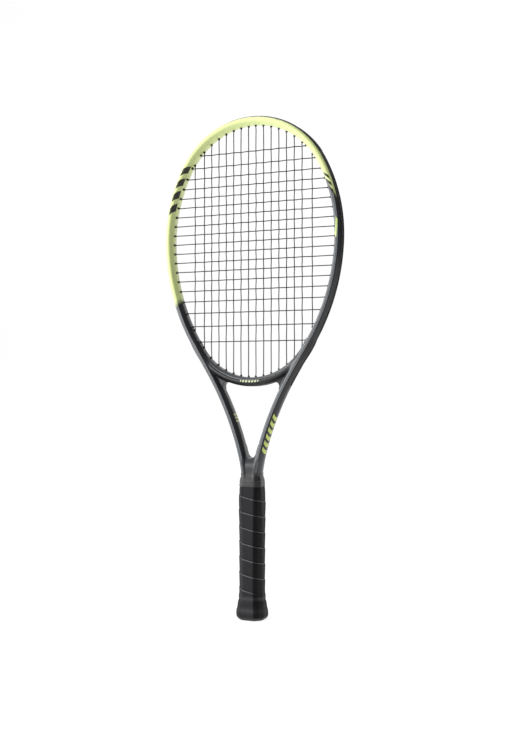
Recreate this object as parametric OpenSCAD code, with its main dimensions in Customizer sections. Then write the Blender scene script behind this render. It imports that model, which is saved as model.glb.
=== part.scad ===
// Tennis racket, adult size: a hollow hairpin frame with a moulded-in throat bridge,
// 16 main and 19 cross strings, grommet strips, bumper guard, pallet handle, butt cap and grip.
// The racket stands upright: Z runs up its length, X across the string bed, and its front faces -Y.
// The origin is the centre of the butt end.

/* [Frame] */
// Length from the butt end to the top of the bumper guard
overall_length = 685.8; // [684:0.1:690]
// Width of the frame tube, seen from the front
beam_width = 11.5; // [11.3:0.1:12]
// Depth of the frame tube, front to back
beam_depth = 23.5; // [22.5:0.1:24.5]
// Wall thickness of the frame tube
wall = 1.6; // [1.4:0.1:1.7]
// Centre-line radius of the crown of the head
crown_radius = 114; // [113:0.5:115]
// Angle from the top of the head to the end of the crown
crown_sweep = 61.5; // [61:0.1:62]
// Centre-line radius of the flank, beside the widest point
flank_radius = 212; // [210:1:214]
// Angle that the flank turns through
flank_sweep = 30.5; // [30:0.1:31]
// Centre-line radius of the shoulder, below the widest point
shoulder_radius = 280; // [276:1:284]
// Angle that the shoulder turns through
shoulder_sweep = 29; // [28.5:0.1:29.5]
// Length of the straight stretch of each leg
leg_straight = 52; // [50:1:54]
// Centre-line radius of the leg where it curves back to the shaft
throat_radius = 420; // [410:5:430]
// Angle that the lower leg turns through
throat_sweep = 17; // [16:0.5:18]
// Height of the crotch where the two legs part
crotch_height = 219; // [216:0.5:221]

/* [Bridge] */
// Radius of the inner wall of the throat bridge
bridge_radius = 88; // [87:0.5:89]
// Height of the bridge, seen from the front
bridge_height = 12.5; // [12:0.1:13]
// Depth of the bridge, front to back
bridge_depth = 21; // [20:0.5:22]
// Radius of the corner between the bridge and a leg
gusset_radius = 6; // [5:0.5:7]
// Depth of the recessed gusset in that corner
gusset_depth = 12; // [11:0.5:14]

/* [Strings] */
// Diameter of the string
string_gauge = 1.3; // [1.2:0.01:1.35]
// Gap between two main strings
main_pitch = 11.25; // [11:0.05:11.5]
// Gap between the last two main strings on each side
outer_main_gap = 14.5; // [14:0.1:15]
// Height of the middle cross string
middle_cross_z = 515.4; // [514:0.1:517]
// Gap between two cross strings in the middle of the bed
cross_pitch = 12.9; // [12.8:0.05:13]
// Extra spread of the uppermost cross string
upper_spread = 7; // [6:0.2:8]
// Extra spread of the lowest cross string
lower_spread = 21.4; // [20:0.2:22]

/* [Grommets] */
// Depth of the groove that the strips lie in
groove_depth = 2.4; // [2.3:0.1:2.5]
// Outer diameter of a grommet barrel
barrel_d = 3.4; // [3.2:0.1:3.6]
// Bore of a grommet barrel
barrel_bore = 1.8; // [1.7:0.05:1.9]
// Height of a grommet barrel above the inner wall
barrel_lip = 1.2; // [1:0.1:1.4]
// Height of the bumper guard above the outer wall
guard_proud = 0.6; // [0.4:0.1:0.8]

/* [Handle] */
// Width of the gripped handle, side to side
handle_width = 33; // [32:0.1:34]
// Depth of the gripped handle, front to back
handle_depth = 29.2; // [29:0.1:30]
// Thickness of the grip
grip_thickness = 1.9; // [1.7:0.1:2]
// Height of the top of the grip
grip_top = 188; // [186:1:190]
// Width of the flared butt end
butt_width = 41; // [40:0.2:42]
// Width of the shaft above the grip
shaft_width = 25; // [24.6:0.1:25.4]
// Depth of the shaft above the grip
shaft_depth = 23.6; // [23.5:0.1:24]

/* [Hidden] */

graphite = [0.22, 0.23, 0.24];
black_nylon = [0.06, 0.06, 0.06];
string_grey = [0.25, 0.25, 0.26];
handle_black = [0.12, 0.12, 0.12];
steel = [0.7, 0.7, 0.72];

seat_gap = 0.05;                 // clearance between pieces that are seated in each other
collar_proud = 0.02;             // how far a joint's collar stands out of its tube
strip_half = 3.45;               // half width of a grommet strip
strip_base = 0.85;               // thickness of a strip under the string
strip_sink = 0.3;                // how far a strip lies below the outer wall
channel_half = 2.45;             // half width of the string channel in a strip
route_offset = 0.9;              // the holes stand this far in front of or behind the bed
string_r = string_gauge / 2;
string_lift = string_r + 0.3;    // the string's height above the strip where it runs outside
bend_trim = 0.5;                 // length cut off a corner where the string enters a barrel
exit_trim = 0.8;                 // length cut off a corner where the string leaves the strip
knot_r = 0.85;                   // radius of a string's knot
weave_height = string_gauge + 0.08;
corner_gap = 0.6;                // the string bends this far outside the barrel
run_in = 0.7;                    // straight string just before that bend
ease_length = 3.2;               // length over which a main string shifts to its hole
mains_per_side = 8;
bridge_mains = 4;                // mains on each side that pass through the bridge alone
crosses = 19;

// Directions and places in the plane of the head are [x, z] pairs.
function polar(r, a) = [r * cos(a), r * sin(a)];
function unit(v) = v / norm(v);
function angle_of(v) = atan2(v[1], v[0]);

// Centre line of the frame: tangent arcs from the crown down to the shaft
crown_angle = 90 - crown_sweep;
flank_angle = crown_angle - flank_sweep;
leg_angle = flank_angle - shoulder_sweep;
crown_c = [0, overall_length - guard_proud - beam_width / 2 - crown_radius];
flank_c = crown_c + polar(crown_radius - flank_radius, crown_angle);
shoulder_c = flank_c + polar(flank_radius - shoulder_radius, flank_angle);
leg_normal = polar(1, leg_angle);
leg_down = [leg_normal[1], -leg_normal[0]];
leg_start = shoulder_c + polar(shoulder_radius, leg_angle);
leg_end = leg_start + leg_straight * leg_down;
throat_c = leg_end + throat_radius * leg_normal;
neck_slope = -leg_angle - throat_sweep;
throat_end = throat_c + polar(throat_radius, 180 - neck_slope);
tube_x = (shaft_width - beam_width) / 2;
neck_radius = (throat_end[0] - tube_x) / (1 - cos(neck_slope));
neck_c = throat_end - polar(neck_radius, 180 - neck_slope);

// The bridge's inner wall meets the shoulder's inner wall tangentially.
tangent_reach = shoulder_radius - beam_width / 2 - bridge_radius;
bridge_c = [0, shoulder_c[1] - sqrt(pow(tangent_reach, 2) - pow(shoulder_c[0], 2))];
bridge_span = 90 + angle_of(bridge_c - shoulder_c) - 1;
bridge_outer = bridge_radius + bridge_height;

// Corner between bridge and leg: its round touches both.
gusset_line = leg_start - (beam_width / 2 + gusset_radius) * leg_normal;
gusset_b = (gusset_line - bridge_c) * leg_down;
gusset_c = pow(norm(gusset_line - bridge_c), 2) - pow(bridge_outer + gusset_radius, 2);
gusset_centre = gusset_line + (sqrt(gusset_b * gusset_b - gusset_c) - gusset_b) * leg_down;

// String places
function main_x(k) = main_pitch * (k - 0.5) + (k == mains_per_side ? outer_main_gap - main_pitch : 0);
function cross_z(j) = let (s = (crosses + 1) / 2 - j, t = abs(s) / ((crosses - 1) / 2))
    middle_cross_z + sign(s) * (abs(s) * cross_pitch
        + (s > 0 ? upper_spread * pow(t, 8) : lower_spread * pow(t, 4.5)));

// A hole is [place of the string's bend inside the head, outward angle, distance to the centre line].
bend_reach = beam_width / 2 + barrel_lip + corner_gap;
bridge_reach = bridge_height / 2 + barrel_lip + corner_gap;
function crown_hole(x) = let (r = crown_radius - bend_reach)
    [[x, crown_c[1] + sqrt(r * r - x * x)], angle_of([x, sqrt(r * r - x * x)]), bend_reach];
function arc_at(z) =
    z > (crown_c + polar(crown_radius, crown_angle))[1] ? [crown_c, crown_radius]
    : z > (flank_c + polar(flank_radius, flank_angle))[1] ? [flank_c, flank_radius]
    : [shoulder_c, shoulder_radius];
function side_hole(z) = let (arc = arc_at(z), r = arc[1] - bend_reach, dz = z - arc[0][1],
    dx = sqrt(r * r - dz * dz)) [[arc[0][0] + dx, z], angle_of([dx, dz]), bend_reach];
function shoulder_hole(x) = let (r = shoulder_radius - bend_reach, dx = x - shoulder_c[0],
    dz = -sqrt(r * r - dx * dx)) [[x, shoulder_c[1] + dz], angle_of([dx, dz]), bend_reach];
function bridge_hole(x) = let (r = bridge_radius - barrel_lip - corner_gap, dz = -sqrt(r * r - x * x))
    [[x, bridge_c[1] + dz], angle_of([x, dz]), bridge_reach];
function corner_hole(x) = let (m = bridge_hole(x)[0]) [m, leg_angle, leg_normal * (leg_start - m)];
function main_top(k) = crown_hole(main_x(k));
function main_bottom(k) = k <= bridge_mains ? bridge_hole(main_x(k))
    : k <= bridge_mains + 2 ? corner_hole(main_x(k)) : shoulder_hole(main_x(k));

// Distance from the centre line out to the seat of a strip, in the frame and in the bridge
frame_seat = beam_width / 2 - groove_depth;
bridge_seat = bridge_height / 2 - groove_depth;
function seat_of(hole) = hole[2] == bridge_reach ? bridge_seat : frame_seat;
function exit_of(hole) = hole[0] + polar(hole[2] + seat_of(hole) + seat_gap + strip_base + string_lift, hole[1]);

// Ends of the strips, and the holes on the right side that each of them serves
guard_edge = 32.5;               // polar angle on the crown where the guard ends
strip_run = 66;                  // length of the side strip along the straight leg
bridge_strip_span = 31;          // half of the angle that the bridge strip covers
guard_mains = [for (k = [1:mains_per_side]) main_top(k)];
guard_crosses = [side_hole(cross_z(1))];
side_mains = [for (k = [bridge_mains + 1:mains_per_side]) main_bottom(k)];
side_crosses = [for (j = [2:crosses]) side_hole(cross_z(j))];
bridge_holes = [for (k = [1:bridge_mains]) main_bottom(k)];

module both_sides() {
    children();
    mirror([1, 0, 0]) children();
}

// Sweeps an outline along an arc in the plane of the head, with the outline's +x away from the centre.
module along_arc(c, r, high, low) {
    translate([c[0], 0, c[1]]) rotate([90, 0, 0])
        rotate_extrude(angle = high - low, start = low, $fn = 180) translate([r, 0]) children();
}

module along_leg(length) {
    translate([leg_start[0], 0, leg_start[1]]) rotate([0, -leg_angle, 0])
        translate([0, 0, -length]) linear_extrude(length) children();
}

// A short collar of an outline where two arcs meet, so that they join as one piece
module collars(joints) {
    collar = 0.4;
    for (joint = joints) translate([joint[0][0], 0, joint[0][1]]) rotate([0, -joint[1], 0])
        translate([0, 0, -collar / 2]) linear_extrude(collar) children();
}

// The right side of the head from an angle on the crown to a length down the leg.
// Its children are the outline and the outline of the collars.
module along_side(high, leg_length) {
    along_arc(crown_c, crown_radius, high, crown_angle) children(0);
    along_arc(flank_c, flank_radius, crown_angle, flank_angle) children(0);
    along_arc(shoulder_c, shoulder_radius, flank_angle, leg_angle) children(0);
    along_leg(leg_length) children(0);
    collars([[crown_c + polar(crown_radius, crown_angle), crown_angle],
        [flank_c + polar(flank_radius, flank_angle), flank_angle], [leg_start, leg_angle]]) children(1);
}

module along_lower_leg() {
    along_arc(throat_c, throat_radius, 180 - neck_slope, 180 + leg_angle) mirror([1, 0]) children(0);
    along_arc(neck_c, neck_radius, 180, 180 - neck_slope) mirror([1, 0]) children(0);
    collars([[leg_end, leg_angle], [throat_end, -neck_slope]]) children(1);
}

// The whole right side, with a tube of the given half width, half depth and shift
module along_tube(half_width, half_depth, shift = 0) {
    along_side(90, leg_straight) {
        tube_outline(half_width, half_depth, shift);
        tube_outline(half_width + collar_proud, half_depth + collar_proud, shift);
    }
    along_lower_leg() {
        tube_outline(half_width, half_depth, shift);
        tube_outline(half_width + collar_proud, half_depth + collar_proud, shift);
    }
}

// Elliptic tube outline with flats
module tube_outline(half_width, half_depth, shift = 0) {
    sides = 16;
    polygon([for (i = [0:sides - 1]) let (a = (i + 0.5) * 360 / sides, k = cos(180 / sides))
        [shift + half_width * cos(a) / k, half_depth * sin(a) / k]]);
}

module bevelled(width, depth, bevel) {
    w = width / 2;
    d = depth / 2;
    polygon([[w, bevel - d], [w, d - bevel], [w - bevel, d], [bevel - w, d],
        [-w, d - bevel], [-w, bevel - d], [bevel - w, -d], [w - bevel, -d]]);
}

module hole_frame(hole) {
    translate([hole[0][0], 0, hole[0][1]]) rotate([0, 90 - hole[1], 0]) children();
}

// Cuts the holes through a wall: main holes on one side of the bed, cross holes on the other.
module drill(holes, side) {
    for (hole = holes) hole_frame(hole) translate([0, side * route_offset, -1])
        cylinder(d = barrel_d + 0.2, h = hole[2] + beam_width, $fn = 24);
}

module drill_head() {
    for (turn = [0, 180]) rotate([0, 0, turn]) {
        drill(concat(guard_mains, side_mains), -1);
        drill(concat(guard_crosses, side_crosses), 1);
    }
}

// The outside of the frame tube, and all that lies beyond its centre line
module frame_envelope() {
    both_sides() {
        along_side(90, leg_straight) {
            bridge_cutter(seat_gap);
            bridge_cutter(seat_gap + collar_proud);
        }
        along_lower_leg() {
            bridge_cutter(seat_gap);
            bridge_cutter(seat_gap + collar_proud);
        }
    }
}

module bridge_cutter(grow) {
    tube_outline(beam_width / 2 + grow, beam_depth / 2 + grow);
    translate([0, -beam_depth]) square([beam_width, 2 * beam_depth]);
}

module groove_outline(grow) {
    translate([frame_seat - grow, -strip_half - seat_gap - grow])
        square([groove_depth + 1, 2 * (strip_half + seat_gap + grow)]);
}

// Shaft: a slim core inside the pallets, then the full section up to the crotch
core_width = 22;
core_depth = 17;
core_bottom = 8;
core_top = 150;
core_bevel = 2;
shaft_top = crotch_height - 7;
shaft_bevel = 3.5;
rib = 1.6;                       // wall between the two tubes where they run side by side
crotch_radius = 5;

module frame_hoop() {
    hollow = (beam_width - 2 * wall - groove_depth) / 2;
    color(graphite) difference() {
        union() {
            both_sides() along_tube(beam_width / 2, beam_depth / 2);
            translate([0, 0, core_top]) linear_extrude(shaft_top - core_top)
                bevelled(shaft_width, shaft_depth, shaft_bevel);
            translate([0, 0, core_bottom]) linear_extrude(core_top - core_bottom)
                bevelled(core_width, core_depth, core_bevel);
            crotch_web();
        }
        both_sides() {
            along_tube(hollow, beam_depth / 2 - wall, -groove_depth / 2);
            shaft_channel(core_bottom - 1, core_top + 1, core_width, core_depth);
            shaft_channel(core_top, neck_c[1], shaft_width, shaft_depth);
            along_side(90, strip_run + 0.5) {
                groove_outline(0);
                groove_outline(collar_proud);
            }
        }
        drill_head();
    }
}

// The shaft and the start of both legs, grown by a clearance
module neck_skin(grow, bottom, top) {
    intersection() {
        union() {
            translate([0, 0, bottom]) linear_extrude(top - bottom)
                bevelled(shaft_width + 2 * grow, shaft_depth + 2 * grow, shaft_bevel);
            both_sides() along_arc(neck_c, neck_radius, 180, 180 - neck_slope)
                tube_outline(beam_width / 2 + grow, beam_depth / 2 + grow);
        }
        translate([-shaft_width, -shaft_depth, bottom]) cube([2 * shaft_width, 2 * shaft_depth, top - bottom]);
    }
}

// Fills the fork above the shaft, with a round crotch.
module crotch_web() {
    web_half = crotch_radius + 2;
    web_depth = 19;
    rotate([90, 0, 0]) translate([0, 0, -web_depth / 2]) linear_extrude(web_depth) difference() {
        translate([-web_half, neck_c[1]]) square([2 * web_half, crotch_height + crotch_radius - neck_c[1]]);
        translate([0, crotch_height + crotch_radius]) circle(r = crotch_radius, $fn = 48);
    }
}

module shaft_channel(from, to, width, depth) {
    channel = width / 2 - wall - rib / 2;
    translate([rib / 2 + channel / 2, 0, from]) linear_extrude(to - from)
        bevelled(channel, depth - 2 * wall, 1.5);
}

module throat_bridge() {
    color(graphite) difference() {
        union() {
            along_arc(bridge_c, bridge_radius + bridge_height / 2, 270 + bridge_span, 270 - bridge_span)
                bevelled(bridge_height, bridge_depth, 3.5);
            both_sides() gusset();
        }
        frame_envelope();
        along_arc(bridge_c, bridge_outer, 271 + bridge_strip_span, 269 - bridge_strip_span)
            translate([-groove_depth, -strip_half - seat_gap])
                square([groove_depth + 1.5, 2 * (strip_half + seat_gap)]);
        for (turn = [0, 180]) rotate([0, 0, turn]) {
            drill(bridge_holes, -1);
            drill([main_bottom(bridge_mains + 1), main_bottom(bridge_mains + 2)], -1);
        }
    }
}

module gusset() {
    reach = gusset_radius + beam_width / 2;
    rotate([90, 0, 0]) translate([0, 0, -gusset_depth / 2]) linear_extrude(gusset_depth) difference() {
        polygon([gusset_centre, gusset_centre + reach * leg_normal,
            gusset_centre + reach * leg_normal - 3 * reach * leg_down,
            gusset_centre + reach * unit(bridge_c - gusset_centre)]);
        translate(gusset_centre) circle(r = gusset_radius, $fn = 48);
    }
}

// Outline of a strip: a shallow channel for the string. A collar's outline is grown a little.
module strip_outline(seat, top, grow = 0) {
    difference() {
        translate([seat + seat_gap - grow, -strip_half - grow])
            square([top - seat - seat_gap + 2 * grow, 2 * (strip_half + grow)]);
        translate([seat + seat_gap + strip_base + grow, grow - channel_half])
            square([beam_width, 2 * (channel_half - grow)]);
    }
}

// Outline of the guard: the same channel with wings that hug the tube
module guard_outline() {
    wing_half = 6.5;
    difference() {
        translate([frame_seat + seat_gap, -wing_half])
            square([groove_depth + guard_proud - seat_gap, 2 * wing_half]);
        difference() {
            tube_outline(beam_width / 2 + seat_gap, beam_depth / 2 + seat_gap);
            translate([0, -strip_half]) square([beam_width, 2 * strip_half]);
        }
        translate([frame_seat + seat_gap + strip_base, -channel_half])
            square([beam_width, 2 * channel_half]);
    }
}

// Barrels from the strip's seat to the inside of the head
module barrels(holes, side) {
    for (hole = holes) hole_frame(hole) translate([0, side * route_offset, corner_gap])
        cylinder(d = barrel_d, h = hole[2] + seat_of(hole) + 0.5 - corner_gap, $fn = 24);
}

module bores(holes, side) {
    for (hole = holes) hole_frame(hole) translate([0, side * route_offset, -1])
        cylinder(d = barrel_bore, h = hole[2] + beam_width, $fn = 24);
}

module bumper_guard() {
    color(black_nylon) difference() {
        union() {
            along_arc(crown_c, crown_radius, 180 - guard_edge, guard_edge) guard_outline();
            for (turn = [0, 180]) rotate([0, 0, turn]) {
                barrels(guard_mains, -1);
                barrels(guard_crosses, 1);
            }
        }
        for (turn = [0, 180]) rotate([0, 0, turn]) {
            bores(guard_mains, -1);
            bores(guard_crosses, 1);
        }
    }
}

module grommet_strip_right() {
    color(black_nylon) difference() {
        union() {
            along_side(guard_edge - 0.2, strip_run) {
                strip_outline(frame_seat, beam_width / 2 - strip_sink);
                strip_outline(frame_seat, beam_width / 2 - strip_sink, collar_proud);
            }
            barrels(side_mains, -1);
            barrels(side_crosses, 1);
        }
        bores(side_mains, -1);
        bores(side_crosses, 1);
    }
}

module grommet_strip_left() {
    rotate([0, 0, 180]) grommet_strip_right();
}

module bridge_grommet_strip() {
    color(black_nylon) difference() {
        union() {
            along_arc(bridge_c, bridge_radius + bridge_height / 2, 270 + bridge_strip_span,
                270 - bridge_strip_span) strip_outline(bridge_seat, bridge_height / 2 - strip_sink);
            for (turn = [0, 180]) rotate([0, 0, turn]) barrels(bridge_holes, -1);
        }
        for (turn = [0, 180]) rotate([0, 0, turn]) bores(bridge_holes, -1);
    }
}

// A string is one swept piece. Its route is a list of corners [x, y, z, trim, radius]: each corner
// with a trim is cut off by that much on both sides, so that the string bends in two steps.
function place(corner) = [corner[0], corner[1], corner[2]];
function route_points(route) = [for (i = [0:len(route) - 1]) let (c = route[i], p = place(c))
    each c[3] == 0 ? [[p[0], p[1], p[2], c[4]]]
    : let (a = p + c[3] * unit(place(route[i - 1]) - p), b = p + c[3] * unit(place(route[i + 1]) - p))
        [[a[0], a[1], a[2], c[4]], [b[0], b[1], b[2], c[4]]]];

module string_sweep(route, sides) {
    points = route_points(route);
    last = len(points) - 1;
    rings = [for (i = [0:last]) let (
        p = place(points[i]),
        way_in = i == 0 ? place(points[1]) - p : p - place(points[i - 1]),
        way_out = i == last ? way_in : place(points[i + 1]) - p,
        way = unit(unit(way_in) + unit(way_out)),
        across = unit(cross(way, [0, 1, 0])) / (way * unit(way_in)),
        up = cross(unit(across), way))
        each [for (n = [0:sides - 1]) let (a = 360 * n / sides)
            p + points[i][3] * (cos(a) * across + sin(a) * up)]];
    polyhedron(rings, concat(
        [[for (n = [0:sides - 1]) n]],
        [for (i = [0:last - 1], n = [0:sides - 1]) let (m = (n + 1) % sides)
            each [[i * sides + n, (i + 1) * sides + n, (i + 1) * sides + m],
                [i * sides + n, (i + 1) * sides + m, i * sides + m]]],
        [[for (n = [sides - 1:-1:0]) last * sides + n]]));
}

function reversed(list) = [for (i = [len(list) - 1:-1:0]) list[i]];
function turned(route) = [for (c = route) [-c[0], -c[1], c[2], c[3], c[4]]];
function corner(xz, y, trim) = [xz[0], y, xz[1], trim, string_r];

// The string's end: a knot in the groove beyond its last hole
function knot(hole, y, direction) = let (e = exit_of(hole), way = polar(1, hole[1] + 90 * direction))
    [for (step = [[2, string_r], [2.3, knot_r], [4.7, knot_r], [5, string_r / 2]]) let (p = e + step[0] * way)
        [p[0], y, p[1], 0, step[1]]];

// Through a hole: from the string's place outside the frame to the place where it enters the bed
function through(hole, y, bed) =
    [corner(exit_of(hole), y, exit_trim), corner(hole[0], y, bend_trim), corner(bed, y, 0)];

function main_upper(k) = let (bed = main_top(k)[0] - [0, run_in])
    concat(through(main_top(k), -route_offset, bed), [corner(bed - [0, ease_length], 0, 0)]);
function main_lower(k) = let (bed = main_bottom(k)[0] + [0, run_in])
    concat(through(main_bottom(k), -route_offset, bed), [corner(bed + [0, ease_length], 0, 0)]);

// The right half of the main string runs from the middle of its top loop out to its knot.
main_right = concat([for (k = [1:mains_per_side]) each k % 2 == 1
        ? concat(main_upper(k), reversed(main_lower(k))) : concat(main_lower(k), reversed(main_upper(k)))],
    knot(main_top(mains_per_side), -route_offset, -1));

module main_string() {
    color(string_grey) string_sweep(concat(reversed(turned(main_right)), main_right), 8);
}

function bed_x(i) = i <= mains_per_side ? -main_x(mains_per_side + 1 - i) : main_x(i - mains_per_side);
function cross_exit(j) = let (hole = side_hole(cross_z(j)))
    through(hole, route_offset, hole[0] - [run_in, 0]);

// One cross string, left to right, over and under the mains
function cross_row(j) = let (reach = side_hole(cross_z(j))[0][0] - run_in) concat(
    turned(cross_exit(j)),
    [for (i = [1:2 * mains_per_side]) if (abs(bed_x(i)) < reach)
        [bed_x(i), ((i + j) % 2 == 0 ? 1 : -1) * weave_height, cross_z(j), 0, string_r]],
    reversed(cross_exit(j)));

module cross_string() {
    rows = [for (j = [1:crosses]) each j % 2 == 1 ? cross_row(j) : reversed(cross_row(j))];
    start = reversed(turned(knot(side_hole(cross_z(1)), route_offset, 1)));
    end = knot(side_hole(cross_z(crosses)), route_offset, -1);
    color(string_grey) string_sweep(concat(start, rows, end), 6);
}

// Handle: half width of the gripped surface at each height
flare = butt_width / 2;
grip_half = handle_width / 2;
taper_half = shaft_width / 2 + grip_thickness - 0.1;
handle_line = [[-1, flare - 3.6], [1.5, flare - 0.8], [4, flare], [10, flare - 0.6], [18, grip_half + 2.1],
    [29, grip_half + 0.2], [40, grip_half], [150, grip_half], [grip_top, taper_half], [200, taper_half - 0.6]];

// An octagonal bar whose half width follows the line; inset moves its faces inward.
// The diagonal faces bend a little higher up than the others.
module handle_bar(line, inset, bottom, top) {
    depth_ratio = handle_depth / handle_width;
    diagonal_ratio = (1 + depth_ratio) / sqrt(2) - 0.3;
    diagonal_line = [for (p = line) [p[0] + 0.5, p[1]]];
    intersection() {
        handle_slab(line, inset, 1);
        rotate([0, 0, 90]) handle_slab(line, inset, depth_ratio);
        rotate([0, 0, 45]) handle_slab(diagonal_line, inset, diagonal_ratio);
        rotate([0, 0, -45]) handle_slab(diagonal_line, inset, diagonal_ratio);
        translate([-flare, -flare, bottom]) cube([2 * flare, 2 * flare, top - bottom]);
    }
}

module handle_slab(line, inset, ratio) {
    last = len(line) - 1;
    rotate([90, 0, 0]) translate([0, 0, -flare - 5]) linear_extrude(2 * flare + 10)
        polygon(concat([for (p = line) [p[1] * ratio - inset, p[0]]],
            [for (i = [last:-1:0]) [inset - line[i][1] * ratio, line[i][0]]]));
}

cap_wall = 1.5;
cap_top = 32;
cap_floor = 3;
pallet_top = 175;
tape_thickness = 0.4;
shaft_clear = 2 * seat_gap;

module pallet(side) {
    color(handle_black) difference() {
        union() {
            handle_bar(handle_line, grip_thickness + seat_gap, cap_top + seat_gap, pallet_top);
            translate([0, 0, core_bottom]) linear_extrude(cap_top + 1 - core_bottom)
                bevelled(handle_width - 2 * (grip_thickness + cap_wall + shaft_clear),
                    handle_depth - 2 * (grip_thickness + cap_wall + shaft_clear), 5);
        }
        translate([0, 0, core_bottom - 1]) linear_extrude(core_top + 1 - core_bottom)
            bevelled(core_width + shaft_clear, core_depth + shaft_clear, core_bevel);
        translate([0, 0, core_top - 0.1]) linear_extrude(pallet_top)
            bevelled(shaft_width + shaft_clear, shaft_depth + shaft_clear, shaft_bevel);
        translate([-flare, side > 0 ? -2 * flare + seat_gap : -seat_gap, 0])
            cube([2 * flare, 2 * flare, overall_length]);
        staple_legs(0.05);
    }
}

module pallet_front() {
    pallet(-1);
}

module pallet_rear() {
    pallet(1);
}

staple_z = 22;
staple_wire = 1;
staple_half = 4;
staple_face = 13.5;              // height of the staple's crown above the handle's axis

module staple_legs(clearance) {
    for (side = [-1, 1], x = [-staple_half, staple_half]) translate([x, side * staple_face, staple_z])
        rotate([90 * side, 0, 0]) cylinder(d = staple_wire + 2 * clearance, h = 4.3 + clearance, $fn = 24);
}

module butt_cap_staples() {
    color(steel) {
        staple_legs(0);
        for (side = [-1, 1]) translate([-staple_half, side * staple_face, staple_z]) rotate([0, 90, 0])
            cylinder(d = staple_wire, h = 2 * staple_half, $fn = 24);
        for (side = [-1, 1], x = [-staple_half, staple_half]) translate([x, side * staple_face, staple_z])
            sphere(d = staple_wire, $fn = 24);
    }
}

door_width = 19;
door_depth = 15;
door_plate = 1.5;
door_bevel = 4;
door_gap = 0.3;
skirt_wall = 1.2;
skirt_height = 6.5;

module butt_cap() {
    rim_top = 4.5;
    color(handle_black) difference() {
        union() {
            handle_bar(handle_line, 0, 0, rim_top);
            handle_bar(handle_line, grip_thickness, rim_top - 1, cap_top);
        }
        translate([0, 0, cap_floor + 4.5]) linear_extrude(cap_top)
            bevelled(handle_width - 2 * (grip_thickness + cap_wall),
                handle_depth - 2 * (grip_thickness + cap_wall), 5);
        translate([0, 0, cap_floor]) linear_extrude(cap_top)
            bevelled(core_width - 1, core_depth - 1, core_bevel);
        translate([0, 0, -1]) linear_extrude(1 + door_plate + door_gap)
            bevelled(door_width + 2 * door_gap, door_depth + 2 * door_gap, door_bevel);
        translate([0, 0, -1]) linear_extrude(cap_floor + 2)
            bevelled(door_width - 2, door_depth - 2, door_bevel - 0.6);
        staple_legs(0.05);
        for (side = [-1, 1]) translate([-staple_half - 1, side * (staple_face + 1) - 1.5, staple_z - 0.7])
            cube([2 * staple_half + 2, 3, 1.4]);
    }
}

module butt_cap_door() {
    inner = 2 + 2 * door_gap;
    color(handle_black) {
        linear_extrude(door_plate) bevelled(door_width, door_depth, door_bevel);
        translate([0, 0, door_plate - 0.1]) linear_extrude(skirt_height - door_plate + 0.1) difference() {
            bevelled(door_width - inner, door_depth - inner, door_bevel - 0.6);
            bevelled(door_width - inner - 2 * skirt_wall, door_depth - inner - 2 * skirt_wall,
                door_bevel - 1);
        }
    }
}

module grip() {
    color(handle_black) difference() {
        handle_bar(handle_line, 0, 4.5 + seat_gap, grip_top);
        handle_bar(handle_line, grip_thickness - seat_gap, 0, cap_top + 1);
        handle_bar(handle_line, grip_thickness, cap_top, pallet_top + seat_gap);
        neck_skin(seat_gap, core_top, grip_top + 1);
    }
}

module finishing_tape() {
    tape_top = 196;
    overlap = 8;
    bottom = grip_top - overlap;
    color(handle_black) difference() {
        union() {
            handle_bar(handle_line, -tape_thickness, bottom, grip_top);
            neck_skin(seat_gap + tape_thickness, grip_top, tape_top);
        }
        handle_bar(handle_line, -seat_gap, bottom - 1, grip_top + seat_gap);
        neck_skin(seat_gap, bottom - 1, tape_top + 1);
    }
}

frame_hoop();
throat_bridge();
bumper_guard();
grommet_strip_left();
grommet_strip_right();
bridge_grommet_strip();
main_string();
cross_string();
pallet_front();
pallet_rear();
butt_cap();
butt_cap_door();
butt_cap_staples();
grip();
finishing_tape();
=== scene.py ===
import math

import bmesh
import bpy
import numpy as np
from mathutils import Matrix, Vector


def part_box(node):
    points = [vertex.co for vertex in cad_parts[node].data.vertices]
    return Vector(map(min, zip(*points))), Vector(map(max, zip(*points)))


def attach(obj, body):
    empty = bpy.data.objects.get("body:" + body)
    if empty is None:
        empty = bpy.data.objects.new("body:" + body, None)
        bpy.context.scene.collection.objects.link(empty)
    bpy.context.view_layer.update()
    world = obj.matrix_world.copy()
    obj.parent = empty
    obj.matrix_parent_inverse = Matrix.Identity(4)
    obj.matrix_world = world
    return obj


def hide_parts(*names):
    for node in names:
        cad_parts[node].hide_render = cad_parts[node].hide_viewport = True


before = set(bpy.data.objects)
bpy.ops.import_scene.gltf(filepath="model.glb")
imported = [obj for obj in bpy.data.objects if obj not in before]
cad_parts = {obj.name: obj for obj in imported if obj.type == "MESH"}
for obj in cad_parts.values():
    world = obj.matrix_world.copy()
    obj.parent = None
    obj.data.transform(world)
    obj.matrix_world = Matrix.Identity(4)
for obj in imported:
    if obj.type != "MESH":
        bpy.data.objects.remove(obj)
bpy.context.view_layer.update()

# Lengths are in millimetres until a mesh is made. The racket stands along +Z and its front faces -Y.
MM = 0.001


def polar(r, degrees):
    a = math.radians(degrees)
    return np.array([r * math.cos(a), r * math.sin(a)])


def unit(v):
    return v / np.linalg.norm(v)


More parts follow.
